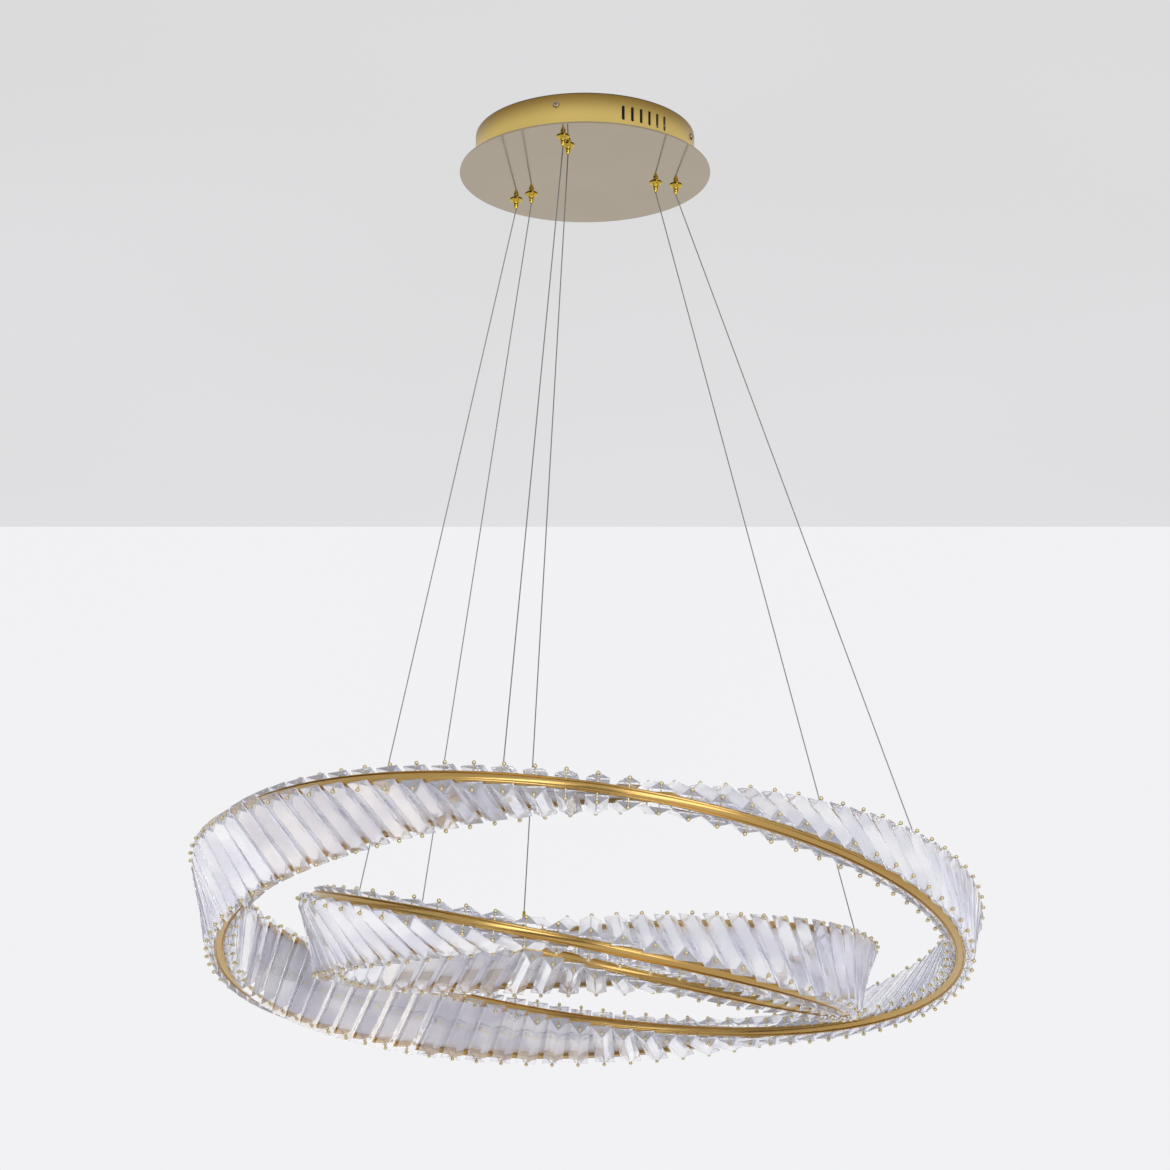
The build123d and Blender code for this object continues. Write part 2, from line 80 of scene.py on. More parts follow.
def addNode(tree, kind, settings=None, links=None):
    # settings: property or input names to values; links: input names to output sockets
    node = tree.nodes.new(kind)
    for key, value in (settings or {}).items():
        if isinstance(key, str) and hasattr(node, key):
            setattr(node, key, value)
        else:
            node.inputs[key].default_value = value
    for key, socket in (links or {}).items():
        tree.links.new(socket, node.inputs[key])
    return node


def newMaterial(name):
    material = bpy.data.materials.new(name)
    material.use_nodes = True
    material.node_tree.nodes.clear()
    return material, material.node_tree


def closeMaterial(tree, shader):
    addNode(tree, "ShaderNodeOutputMaterial", {}, {"Surface": shader})


# camera: looks along +Y and a little up, from below the rings
cameraSettings = {
    "place": (0.0, -4.0, -1.762),
    "pitchUp": 17.43,  # degrees
    "lens": 123.63,
    "sensor": 36.0,
}
cameraData = bpy.data.cameras.new("camera")
cameraData.lens = cameraSettings["lens"]
cameraData.sensor_width = cameraSettings["sensor"]
cameraData.clip_end = 60
camera = bpy.data.objects.new("camera", cameraData)
camera.location = cameraSettings["place"]
camera.rotation_euler = (math.radians(90 + cameraSettings["pitchUp"]), 0, 0)
bpy.context.scene.collection.objects.link(camera)
bpy.context.scene.camera = camera
print("camera set")


# rings: a flat strip bent round once and turned once about its own centre line
ringSettings = {
    "outer": {
        "body": "outer_ring",
        "radius": 380.0,
        "bars": 90,
        "centre": (2.6, -4.3, -869.6),
        "tiltX": -6.22,
        "tiltY": 2.65,
        "phase": 258.0,
        "gripperCircle": 103.0,
    },
    "inner": {
        "body": "inner_ring",
        "radius": 270.7,
        "bars": 63,
        "centre": (2.0, 4.8, -899.2),
        "tiltX": 8.38,
        "tiltY": 4.78,
        "phase": 256.7,
        "gripperCircle": 80.0,
    },
}


def station(ring, azimuth, face=1):
    # x across the strip, y along the ring, z out of a crystal face
    turn = math.radians(ring["phase"] - azimuth)
    angle = math.radians(azimuth)
    outward = Vector((math.cos(angle), math.sin(angle), 0))
    up = Vector((0, 0, 1))
    across = outward * math.cos(turn) + up * math.sin(turn)
    normal = (up * math.cos(turn) - outward * math.sin(turn)) * face
    along = normal.cross(across)
    place = Matrix.Identity(4)
    for column, vector in enumerate((across, along, normal, outward * ring["radius"] * mm)):
        for row in range(3):
            place[row][column] = vector[row]
    tilt = Matrix.Rotation(math.radians(ring["tiltY"]), 4, "Y")
    tilt = tilt @ Matrix.Rotation(math.radians(ring["tiltX"]), 4, "X")
    return Matrix.Translation(Vector(ring["centre"]) * mm) @ tilt @ place


def modelMesh(bm, name):
    mesh = bpy.data.meshes.new(name)
    bm.to_mesh(mesh)
    bm.free()
    return mesh


def finishMesh(bm, name, materials, body=None, sharpAngle=None):
    # a bmesh becomes a piece at the origin; given a sharp angle, it is smooth except along sharp
    # edges
    bmesh.ops.recalc_face_normals(bm, faces=bm.faces)
    if sharpAngle is not None:
        for face in bm.faces:
            face.smooth = True
        for edge in bm.edges:
            edge.smooth = edge.calc_face_angle(0.0) < math.radians(sharpAngle)
    mesh = modelMesh(bm, name)
    for material in materials:
        mesh.materials.append(material)
    piece = bpy.data.objects.new(name, mesh)
    bpy.context.scene.collection.objects.link(piece)
    if body:
        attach(piece, body)
    return piece


def absorb(bm, part):
    # one part of a piece is added to the rest of it
    mesh = modelMesh(part, "part")
    bm.from_mesh(mesh)
    bpy.data.meshes.remove(mesh)


def refined(node, material, sharpAngle):
    # a smooth-shaded copy of a CAD node, its doubles merged, stands for the node
    source = frame["nodes"][node]
    bm = bmesh.new()
    bm.from_mesh(source.data)
    bmesh.ops.remove_doubles(bm, verts=bm.verts, dist=0.002 * mm)
    for face in bm.faces:
        face.material_index = 0
    parts = node.split("_")
    title = parts[0] + "".join(part.capitalize() for part in parts[1:])
    piece = finishMesh(bm, title, [material], source["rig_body"], sharpAngle)
    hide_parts(node)
    return piece


def noiseNode(tree, vector, scale, detail):
    settings = {"Scale": scale, "Detail": detail}
    return addNode(tree, "ShaderNodeTexNoise", settings, {"Vector": vector})


# finishes: what each surface is made of, its colour and its gloss
finishes = {
    "wireRopeSteel": {"colour": "#8F8F8F", "metallic": 1.0, "roughness": 0.42},
    "goldAnodised": {"colour": "#BF9E60", "metallic": 1.0, "roughness": 0.22},
    "goldPlated": {"colour": "#CAAE48", "metallic": 1.0, "roughness": 0.1},
    "palePolishedGold": {"colour": "#D8CDA6", "metallic": 1.0, "roughness": 0.1},
    "champagneMirror": {"colour": "#ACA08C", "metallic": 1.0, "roughness": 0.09},
    "brushedGold": {"colour": "#E2C674", "metallic": 1.0, "roughness": 0.34},
    "nickelPlated": {"colour": "#A89A8A", "metallic": 1.0, "roughness": 0.2},
    "zincSteel": {"colour": "#B4B8BC", "metallic": 1.0, "roughness": 0.38},
    "whiteStrip": {"colour": "#D4D4DA", "metallic": 0.0, "roughness": 0.45},
    "silverWeb": {"colour": "#E6E6EA", "metallic": 0.2, "roughness": 0.3},
    "ledPhosphor": {"colour": "#E9D9A0", "metallic": 0.0, "roughness": 0.5},
    "whiteAbs": {"colour": "#E8E8E4", "metallic": 0.0, "roughness": 0.48},
    "polyamide": {"colour": "#EDECE6", "metallic": 0.0, "roughness": 0.42},
    "boardGreen": {"colour": "#1F6238", "metallic": 0.0, "roughness": 0.3},
    "foamTape": {"colour": "#2E2E2E", "metallic": 0.0, "roughness": 0.9},
    "cableSleeve": {"colour": "#4A4A4E", "metallic": 0.0, "roughness": 0.55},
}


def plainFinish(
    name,
    wearScale=60.0,
    bumpScale=900.0,
    bumpDepth=0.004,
    spread=0.05,
    stretch=(1, 1, 1),
    paintedShade=None,
):
    # colour and gloss wander a little over the surface, and a fine grain breaks the highlights
    # an optional painted shade: two heights in metres and a tint that darkens the colour, from
    # nothing at the first height to full at the second
    values = finishes[name]
    material, tree = newMaterial(name)
    place = addNode(tree, "ShaderNodeTexCoord")
    mapped = addNode(
        tree,
        "ShaderNodeMapping",
        {"Scale": stretch},
        {"Vector": place.outputs["Object"]},
    )
    wear = noiseNode(tree, mapped.outputs[0], wearScale, 3.0)
    grain = noiseNode(tree, mapped.outputs[0], bumpScale, 2.0)
    gloss = addNode(
        tree,
        "ShaderNodeMapRange",
        {"To Min": max(0.0, values["roughness"] - spread), "To Max": values["roughness"] + spread},
        {"Value": wear.outputs["Fac"]},
    )
    base = toLinear(values["colour"])
    shade = addNode(tree, "ShaderNodeMix", {"data_type": "RGBA"}, {0: wear.outputs["Fac"]})
    shade.inputs[6].default_value = [c * 0.93 for c in base[:3]] + [1.0]
    shade.inputs[7].default_value = [min(1.0, c * 1.05) for c in base[:3]] + [1.0]
    colour = shade.outputs[2]
    if paintedShade:
        axes = addNode(tree, "ShaderNodeSeparateXYZ", {}, {"Vector": place.outputs["Object"]})
        rise = addNode(
            tree,
            "ShaderNodeMapRange",
            {"interpolation_type": "SMOOTHSTEP", "From Min": paintedShade[0], "From Max": paintedShade[1]},
            {"Value": axes.outputs["Z"]},
        )
        shadedColour = addNode(
            tree,
            "ShaderNodeMix",
            {"data_type": "RGBA", "blend_type": "MULTIPLY"},
            {0: rise.outputs[0], 6: colour},
        )
        shadedColour.inputs[7].default_value = toLinear(paintedShade[2])
        colour = shadedColour.outputs[2]
    bump = addNode(
        tree,
        "ShaderNodeBump",
        {"Strength": 0.25, "Distance": bumpDepth * mm},
        {"Height": grain.outputs["Fac"]},
    )
    shader = addNode(
        tree,
        "ShaderNodeBsdfPrincipled",
        {"Metallic": values["metallic"]},
        {"Base Color": colour, "Roughness": gloss.outputs[0], "Normal": bump.outputs[0]},
    )
    closeMaterial(tree, shader.outputs[0])
    return material


def crystalGlass():
    # optical lead-free glass, ground and polished flat: sharp facets carry the room in pieces,
    # and a faint glow stands for the light that many turns inside a bar would bring
    material, tree = newMaterial("opticalGlass")
    place = addNode(tree, "ShaderNodeTexCoord")
    streaks = noiseNode(tree, place.outputs["Object"], 30.0, 1.0)
    polish = addNode(
        tree,
        "ShaderNodeMapRange",
        {"From Min": 0.55, "From Max": 0.8, "To Max": 0.015},
        {"Value": streaks.outputs["Fac"]},
    )
    patch = noiseNode(tree, place.outputs["Object"], 26.0, 0.0)
    share = addNode(
        tree,
        "ShaderNodeMapRange",
        {"From Min": 0.42, "From Max": 0.58},
        {"Value": patch.outputs["Fac"]},
    )
    tone = addNode(tree, "ShaderNodeMix", {"data_type": "RGBA"}, {0: share.outputs[0]})
    tone.inputs[6].default_value = toLinear("#FEFEFF")
    tone.inputs[7].default_value = toLinear("#EAEAF1")
    glass = addNode(
        tree,
        "ShaderNodeBsdfPrincipled",
        {
            "IOR": 1.46,
            "Transmission Weight": 0.9,
            "Emission Color": toLinear("#E6E6F4"),
            "Emission Strength": 0.035,
        },
        {"Base Color": tone.outputs[2], "Roughness": polish.outputs[0]},
    )
    clear = addNode(tree, "ShaderNodeBsdfTransparent", {"Color": toLinear("#F4F5FB")})
    light = addNode(tree, "ShaderNodeLightPath")
    mixed = addNode(
        tree,
        "ShaderNodeMixShader",
        {},
        {0: light.outputs["Is Shadow Ray"], 1: glass.outputs[0], 2: clear.outputs[0]},
    )
    closeMaterial(tree, mixed.outputs[0])
    return material


wireSteel = plainFinish("wireRopeSteel", bumpScale=2500.0, bumpDepth=0.05)
railGold = plainFinish("goldAnodised", wearScale=35.0, spread=0.04)
glossGold = plainFinish("goldPlated", spread=0.03)
pinGold = plainFinish("palePolishedGold", spread=0.02)
mirrorPlate = plainFinish("champagneMirror", 14.0, 30.0, 0.02, spread=0.02)
drumLow, drumHigh = (corner[2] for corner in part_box("canopy_drum"))
# painted shade: the drum's gold darkens towards its top rim, where the ceiling close above would
# shade it
drumTopShade = (drumLow + 0.014, drumHigh + 0.004, "#A08F80")
drumGold = plainFinish("brushedGold", 25.0, 60.0, 0.05, stretch=(1, 1, 40), paintedShade=drumTopShade)
screwNickel = plainFinish("nickelPlated", spread=0.03)
zincSteel = plainFinish("zincSteel")
whiteStrip = plainFinish("whiteStrip")
silverWeb = plainFinish("silverWeb")
phosphor = plainFinish("ledPhosphor", bumpScale=3000.0, bumpDepth=0.02)
whiteAbs = plainFinish("whiteAbs", bumpScale=1500.0, bumpDepth=0.03)
polyamide = plainFinish("polyamide", bumpScale=1500.0, bumpDepth=0.02)
boardGreen = plainFinish("boardGreen")
foamTape = plainFinish("foamTape", bumpScale=1200.0, bumpDepth=0.2)
cableSleeve = plainFinish("cableSleeve")
glassBars = crystalGlass()
print("materials made")


# wires: six taut steel ropes, each a tube with rings of points only at its two ends
wireSettings = {
    "radius": 0.6,
    "sides": 12,
    "headLevel": -53.5,  # just under a gripper's nozzle
    "edgePlace": 42.2,  # of an anchor ball, across the strip
    "postPlace": -10.0,
    "postLevel": 12.0,
    "ferrule": 9.0,
    "sharpAngle": 50,
}


def wireEnds(ring, azimuth):
    angle = math.radians(azimuth)
    circle = ring["gripperCircle"]
    head = (circle * math.cos(angle), circle * math.sin(angle), wireSettings["headLevel"])
    head = Vector(head) * mm
    local = {
        azimuths[0]: (wireSettings["edgePlace"], 0, 0),
        azimuths[1]: (wireSettings["postPlace"], 0, wireSettings["postLevel"]),
        azimuths[2]: (-wireSettings["edgePlace"], 0, 0),
    }[azimuth]
    foot = station(ring, azimuth) @ (Vector(local) * mm)
    return head, foot + (head - foot).normalized() * wireSettings["ferrule"] * mm


for ringName, ring in ringSettings.items():
    for number, azimuth in enumerate(azimuths, start=1):
        head, foot = wireEnds(ring, azimuth)
        run = foot - head
        bm = bmesh.new()
        aim = run.to_track_quat("Z", "Y").to_matrix().to_4x4()
        bmesh.ops.create_cone(
            bm,
            cap_ends=True,
            segments=wireSettings["sides"],
            radius1=wireSettings["radius"] * mm,
            radius2=wireSettings["radius"] * mm,
            depth=run.length,
            matrix=Matrix.Translation((head + foot) / 2) @ aim,
        )
        sharpAngle = wireSettings["sharpAngle"]
        wire = finishMesh(bm, f"{ringName}Wire{number}", [wireSteel], None, sharpAngle)
        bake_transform(wire)
        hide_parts(f"{ringName}_wire_{number}")
print("wires hung")


# ring frames: two rounded gold rails and a pale web between them
frameSettings = {
    "railOuter": 40.2,  # from the strip's centre line
    "railInner": 34.2,
    "railHeight": 10.0,
    "lip": 1.3,
    "grooveDepth": 0.9,
    "groove": 0.7,
    "grooveSlope": 0.2,
    "corner": 0.5,
    "crown": 0.35,  # how far the middle stands back from the lips
    "crownFoot": 0.35,  # and how far the crown's foot and shoulder stand back from the middle
    "shoulder": 0.08,
    "shoulderRun": 1.2,
    "crownHalf": 0.4,
    "webWidth": 68.6,
    "webThickness": 1.6,
    "steps": 360,
    "railSharpAngle": 60,
    "webSharpAngle": 40,
}


def railOutline(side):
    # corners of one rail's outline: a lip, a groove and a crowned middle on its outer face
    values = frameSettings
    outer, inner = values["railOuter"], values["railInner"]
    half, corner, slope = values["railHeight"] / 2, values["corner"], values["grooveSlope"]
    lipEnd = half - values["lip"]
    grooveEnd = lipEnd - values["groove"]
    deep, crown = outer - values["grooveDepth"], outer - values["crown"]
    upper = [
        (inner, half),
        (outer - corner, half),
        (outer, half - corner),
        (outer, lipEnd),
        (deep, lipEnd - slope),
        (deep, grooveEnd),
        (crown - values["crownFoot"], grooveEnd - slope),
        (crown - values["shoulder"], grooveEnd - values["shoulderRun"]),
        (crown, values["crownHalf"]),
    ]
    return [(x * side, z) for x, z in upper + [(x, -z) for x, z in reversed(upper)]]


def flatOutline(width, thickness):
    return [(x * width / 2, z * thickness / 2) for x, z in ((1, -1), (1, 1), (-1, 1), (-1, -1))]


def twistedPiece(name, ring, outlines, material, steps, sharpAngle):
    # each outline is pushed round the ring, turning as it goes, and closed on its own start
    bm = bmesh.new()
    for outline in outlines:
        part = bmesh.new()
        corners = [part.verts.new((x * mm, 0, z * mm)) for x, z in outline]
        firstLoop = [part.edges.new((corner, corners[i - 1])) for i, corner in enumerate(corners)]
        bmesh.ops.transform(part, matrix=station(ring, 0), verts=part.verts)
        loop = firstLoop
        for step in range(1, steps):
            pushed = bmesh.ops.extrude_edge_only(part, edges=loop)["geom"]
            corners = {v for v in pushed if isinstance(v, bmesh.types.BMVert)}
            edges = [e for e in pushed if isinstance(e, bmesh.types.BMEdge)]
            loop = [e for e in edges if set(e.verts) <= corners]
            before = station(ring, 360 / steps * (step - 1))
            move = station(ring, 360 / steps * step) @ before.inverted()
            bmesh.ops.transform(part, matrix=move, verts=list(corners))
        bmesh.ops.bridge_loops(part, edges=loop + firstLoop)
        bmesh.ops.recalc_face_normals(part, faces=part.faces)
        absorb(bm, part)
    return finishMesh(bm, name, [material], ring["body"], sharpAngle)


for ringName, ring in ringSettings.items():
    steps = frameSettings["steps"]
    railOutlines = [railOutline(1), railOutline(-1)]
    railSharp, webSharp = frameSettings["railSharpAngle"], frameSettings["webSharpAngle"]
    rails = twistedPiece(f"{ringName}Rails", ring, railOutlines, railGold, steps, railSharp)
    webOutline = flatOutline(frameSettings["webWidth"], frameSettings["webThickness"])
    web = twistedPiece(f"{ringName}Web", ring, [webOutline], silverWeb, steps, webSharp)
    for piece in (rails, web):
        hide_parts(f"{ringName}_frame")
print("ring frames made")


def repeated(name, model, places, materials, body, sharpAngle):
    # copies of one small mesh, set at every place and joined in one piece
    bm = bmesh.new()
    for place in places:
        before = len(bm.verts)
        bm.from_mesh(model)
        bm.verts.ensure_lookup_table()
        bmesh.ops.transform(bm, matrix=place, verts=bm.verts[before:])
    bpy.data.meshes.remove(model)
    return finishMesh(bm, name, materials, body, sharpAngle)


def seats(ring):
    # the middle of every bar, on both faces, half way between the gaps beside it
    pitch = 360 / ring["bars"]
    found = []
    for face in (1, -1):
        for number in range(ring["bars"]):
            start = azimuths[2] + pitch * number
            seat = station(ring, start + pitch / 2, face)
            sides = [station(ring, start, face), station(ring, start + pitch, face)]
            seat.translation = (sides[0].translation + sides[1].translation) / 2
            found.append(seat)
    return found


# crystal bars: flat-backed blocks, their crown ground to a ridge that is hipped at both ends
barSettings = {
    "length": 87.0,
    "width": 21.8,
    "height": 8.4,
    "seatLevel": 7.2,  # of the flat back, above the middle of the web
    "girdle": 1.5,
    "ridgeLength": 63.0,
    "ridgeWidth": 1.0,
    "edgeBevel": 0.3,
    "lean": 1.3,  # degrees, of a bar hung by hand
    "leanSteps": (2.4, 1.7),  # sideways and endways, uneven from bar to bar
}


def leaning(places):
    # every bar sits a little out of true, so that no two carry the same piece of the room
    sidewaysStep, endwaysStep = barSettings["leanSteps"]
    turned = []
    for number, place in enumerate(places, start=1):
        sideways = barSettings["lean"] * math.sin(sidewaysStep * number**1.5)
        endways = barSettings["lean"] / 3 * math.sin(endwaysStep * number**1.5)
        roll = Matrix.Rotation(math.radians(sideways), 4, "X")
        pitch = Matrix.Rotation(math.radians(endways), 4, "Y")
        turned.append(place @ roll @ pitch)
    return turned


def barModel():
    half, wide = barSettings["length"] / 2, barSettings["width"] / 2
    girdle, rise = barSettings["girdle"], barSettings["height"] - barSettings["girdle"]
    bm = bmesh.new()
    bmesh.ops.create_cube(bm, size=1)
    bmesh.ops.translate(bm, vec=(0, 0, 0.5), verts=bm.verts)
    bmesh.ops.scale(bm, vec=(2 * half, 2 * wide, barSettings["height"]), verts=bm.verts)
    for side in (-1, 1):
        endSlope = (side * rise, 0, half - barSettings["ridgeLength"] / 2)
        longSlope = (0, side * rise, wide - barSettings["ridgeWidth"] / 2)
        facets = (((side * half, 0, girdle), endSlope), ((0, side * wide, girdle), longSlope))
        for point, normal in facets:
            everything = bm.verts[:] + bm.edges[:] + bm.faces[:]
            cut = bmesh.ops.bisect_plane(
                bm,
                geom=everything,
                plane_co=point,
                plane_no=normal,
                clear_outer=True,
            )
            rim = [e for e in cut["geom_cut"] if isinstance(e, bmesh.types.BMEdge)]
            bmesh.ops.edgeloop_fill(bm, edges=rim)
    hips = [e for e in bm.edges if min(v.co.z for v in e.verts) > girdle - 0.01]
    bmesh.ops.bevel(
        bm,
        geom=hips,
        offset=barSettings["edgeBevel"],
        offset_type="OFFSET",
        segments=1,
        profile=0.5,
        affect="EDGES",
        material=-1,
    )
    bmesh.ops.translate(bm, vec=(0, 0, barSettings["seatLevel"]), verts=bm.verts)
    bmesh.ops.scale(bm, vec=(mm, mm, mm), verts=bm.verts)
    bmesh.ops.recalc_face_normals(bm, faces=bm.faces)
    return modelMesh(bm, "bar")


# pins: a polished ball on a short shank at both ends of every bar
pinSettings = {
    "place": 39.2,
    "headLevel": 13.8,
    "headRadius": 2.2,
    "headSteps": (8, 6),
    "shankRadius": 0.8,
    "shankFoot": 4.6,
    "shankDepth": 0.8,  # of the head's radius, where the shank ends inside it
    "shankSteps": 6,
    "sharpAngle": 80,
}


def pinModel():
    bm = bmesh.new()
    level = pinSettings["headLevel"] * mm
    bmesh.ops.create_uvsphere(
        bm,
        u_segments=pinSettings["headSteps"][0],
        v_segments=pinSettings["headSteps"][1],
        radius=pinSettings["headRadius"] * mm,
        matrix=Matrix.Translation((0, 0, level)),
    )
    foot = pinSettings["shankFoot"] * mm
    top = level - pinSettings["headRadius"] * pinSettings["shankDepth"] * mm
    bmesh.ops.create_cone(
        bm,
        cap_ends=True,
        segments=pinSettings["shankSteps"],
        radius1=pinSettings["shankRadius"] * mm,
        radius2=pinSettings["shankRadius"] * mm,
        depth=top - foot,
        matrix=Matrix.Translation((0, 0, (top + foot) / 2)),
    )
    bmesh.ops.recalc_face_normals(bm, faces=bm.faces)
    return modelMesh(bm, "pin")


# LEDs: a white package with a phosphor window on a tinned solder pad
ledSettings = {
    "padLevel": 2.4,
    "pad": 8.4,
    "padThickness": 0.1,
    "body": 5.0,
    "top": 3.9,
    "rim": 0.7,
    "windowDepth": 0.1,
}


def ledModel():
    bm = bmesh.new()
    values = ledSettings
    pad = bmesh.ops.create_cube(bm, size=1)["verts"]
    padSize = (values["pad"] * mm, values["pad"] * mm, values["padThickness"] * mm)
    bmesh.ops.scale(bm, vec=padSize, verts=pad)
    bmesh.ops.translate(bm, vec=(0, 0, values["padLevel"] * mm), verts=pad)
    for face in bm.faces:
        face.material_index = 2
    made = bmesh.ops.create_cube(bm, size=1)["verts"]
    height = values["top"] - values["padLevel"]
    bodySize = (values["body"] * mm, values["body"] * mm, height * mm)
    bmesh.ops.scale(bm, vec=bodySize, verts=made)
    bmesh.ops.translate(bm, vec=(0, 0, (values["padLevel"] + height / 2) * mm), verts=made)
    top = max(bm.faces, key=lambda f: f.calc_center_median().z)
    bmesh.ops.inset_individual(
        bm,
        faces=[top],
        thickness=values["rim"] * mm,
        depth=-values["windowDepth"] * mm,
    )
    top.material_index = 1
    return modelMesh(bm, "led")


for ringName, ring in ringSettings.items():
    ringSeats = seats(ring)
    sides = {"a": ringSeats[:ring["bars"]], "b": ringSeats[ring["bars"]:]}
    for side, places in sides.items():
        barsName = f"{ringName}Crystals{side.upper()}"
        bars = repeated(barsName, barModel(), leaning(places), [glassBars], ring["body"], None)
        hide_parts(f"{ringName}_crystals_{side}")
    ledFinishes = [whiteStrip, phosphor, silverWeb]
    leds = repeated(f"{ringName}Leds", ledModel(), ringSeats, ledFinishes, ring["body"], None)
    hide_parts(f"{ringName}_led_chips")
    shifts = [Matrix.Translation((end * pinSettings["place"] * mm, 0, 0)) for end in (-1, 1)]
    ends = [seat @ shift for seat in ringSeats for shift in shifts]
    sharpAngle = pinSettings["sharpAngle"]
    pins = repeated(f"{ringName}Pins", pinModel(), ends, [pinGold], ring["body"], sharpAngle)
    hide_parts(f"{ringName}_pins")
print("crystals, pins and LEDs set")


# CAD nodes that keep their shape take their finish
nodeFinishes = {
    "ceiling_bracket": zincSteel,
    "plate_nuts": zincSteel,
    "gripper_locknuts": zincSteel,
    "earth_screw": zincSteel,
    "wire_tails": wireSteel,
    "outer_driver_case": whiteAbs,
    "outer_driver_lid": whiteAbs,
    "inner_driver_case": whiteAbs,
    "inner_driver_lid": whiteAbs,
    "driver_boards": boardGreen,
    "terminal_block": polyamide,
    "terminal_screws": glossGold,
    "supply_leads": cableSleeve,
    "mounting_tapes": foamTape,
    "outer_led_strips": whiteStrip,
    "inner_led_strips": whiteStrip,
}
for ringName in ringSettings:
    for number in range(1, len(azimuths) + 1):
        nodeFinishes[f"gripper_spring_{ringName}_{number}"] = zincSteel
for node, material in nodeFinishes.items():
    data = frame["nodes"][node].data
    data.materials.clear()
    data.materials.append(material)


# wire grippers: a flange, a narrowing throat and a sprung nozzle, pushed up to free the wire
gripperSettings = {
    "plateLevel": -42.0,
    "flangeRadius": 7.0,
    "flange": 1.2,
    "rimRound": 0.3,
    "tipRadius": 3.0,
    "reach": 5.0,
    "throatPower": 2,
    "bore": 2.3,
    "chamberRadius": 3.3,
    "chamberFoot": -2.0,
    "chamberTop": 14.0,
    "threadRadius": 4.0,
    "top": 16.0,
    "wireHole": 0.95,
    "nozzleTop": -6.7,
    "nozzleRim": 0.6,
    "nozzleFoot": -11.1,
    "nozzleRadius": 2.7,
    "nozzleTip": 1.4,
    "nozzlePower": 1.4,
    "plungerRadius": 2.2,
    "collarRadius": 3.0,
    "collarHeight": 1.6,
    "throatSteps": 10,
    "steps": 32,
    "sharpAngle": 40,
}


def throat(wide, narrow, high, low, power):
    # a hollow curve that starts flat under the wide end and runs down to the narrow one
    count = gripperSettings["throatSteps"]
    points = []
    for i in range(count + 1):
        radius = narrow + (wide - narrow) * (1 - i / count) ** power
        points.append((radius, high + (low - high) * i / count))
    return points


def turnedPiece(name, outline, places, material, body):
    # a closed outline of radius and height, spun round each place
    bm = bmesh.new()
    for place in places:
        part = bmesh.new()
        points = [part.verts.new((radius * mm, 0, height * mm)) for radius, height in outline]
        loop = [part.edges.new((point, points[i - 1])) for i, point in enumerate(points)]
        bmesh.ops.spin(
            part,
            geom=loop,
            cent=(0, 0, 0),
            axis=(0, 0, 1),
            angle=2 * math.pi,
            steps=gripperSettings["steps"],
            use_merge=True,
            dvec=(0, 0, 0),
        )
        bmesh.ops.translate(part, vec=place, verts=part.verts)
        absorb(bm, part)
    return finishMesh(bm, name, [material], body, gripperSettings["sharpAngle"])


def gripperPlace(ring, azimuth):
    angle = math.radians(azimuth)
    circle = ring["gripperCircle"]
    place = (circle * math.cos(angle), circle * math.sin(angle), gripperSettings["plateLevel"])
    return Vector(place) * mm


values = gripperSettings
rim = values["rimRound"]
bodyOutline = [(values["bore"], values["chamberFoot"]), (values["bore"], -values["reach"])]
bodyThroat = throat(
    values["flangeRadius"] - rim,
    values["tipRadius"],
    -values["flange"],
    -values["reach"],
    values["throatPower"],
)
bodyOutline += reversed(bodyThroat)
bodyOutline += [
    (values["flangeRadius"], -values["flange"] + rim),
    (values["flangeRadius"], -rim),
    (values["flangeRadius"] - rim, 0),
    (values["threadRadius"], 0),
    (values["threadRadius"], values["top"]),
    (values["wireHole"], values["top"]),
    (values["wireHole"], values["chamberTop"]),
    (values["chamberRadius"], values["chamberTop"]),
    (values["chamberRadius"], values["chamberFoot"]),
]
nozzleShoulder = values["nozzleTop"] - values["nozzleRim"]
nozzleOutline = throat(
    values["nozzleRadius"],
    values["nozzleTip"],
    nozzleShoulder,
    values["nozzleFoot"],
    values["nozzlePower"],
)
nozzleOutline += [
    (values["wireHole"], values["nozzleFoot"]),
    (values["wireHole"], values["chamberFoot"] + values["collarHeight"]),
    (values["collarRadius"], values["chamberFoot"] + values["collarHeight"]),
    (values["collarRadius"], values["chamberFoot"]),
    (values["plungerRadius"], values["chamberFoot"]),
    (values["plungerRadius"], values["nozzleTop"]),
    (values["nozzleRadius"], values["nozzleTop"]),
]
rings = ringSettings.values()
allPlaces = [gripperPlace(ring, azimuth) for ring in rings for azimuth in azimuths]
gripperBodies = turnedPiece("wireGripperBodies", bodyOutline, allPlaces, glossGold, "canopy")
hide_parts("wire_gripper_bodies")
for ringName, ring in ringSettings.items():
    for number, azimuth in enumerate(azimuths, start=1):
        label = f"{ringName}_{number}"
        place = gripperPlace(ring, azimuth)
        nozzleName = f"{ringName}Nozzle{number}"
        nozzle = turnedPiece(nozzleName, nozzleOutline, [place], glossGold, f"nozzle_{label}")
        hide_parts(f"gripper_nozzle_{label}")
print("grippers turned")


# CAD nodes that keep their shape but are shaded smooth, up to an angle between faces in degrees
refinedNodes = {
    "canopy_plate": (mirrorPlate, 32, "polished_plate"),
    "canopy_drum": (drumGold, 32, "brushed_gold"),
    "canopy_side_screws": (screwNickel, 52, "gold_screws"),
    "outer_wire_anchors": (glossGold, 52, "anchor_gold"),
    "inner_wire_anchors": (glossGold, 52, "anchor_gold"),
}
for node, (material, sharpAngle, slotName) in refinedNodes.items():
    refined(node, material, sharpAngle)
print("canopy finished")


# room: ceiling, wall and floor, each seen only from the lamp's side
roomSettings = {
    "ceilingNear": "#DADADB",
    "ceilingFar": "#E2E2E4",
    "wallLow": "#F3F3F5",
    "wallTop": "#F1F1F3",
    "floor": "#D6D0CC",
    "floorLift": 0.35,
    "wallPlace": 1.34,
    "floorLevel": -2.4,
    "reach": 9.0,
}


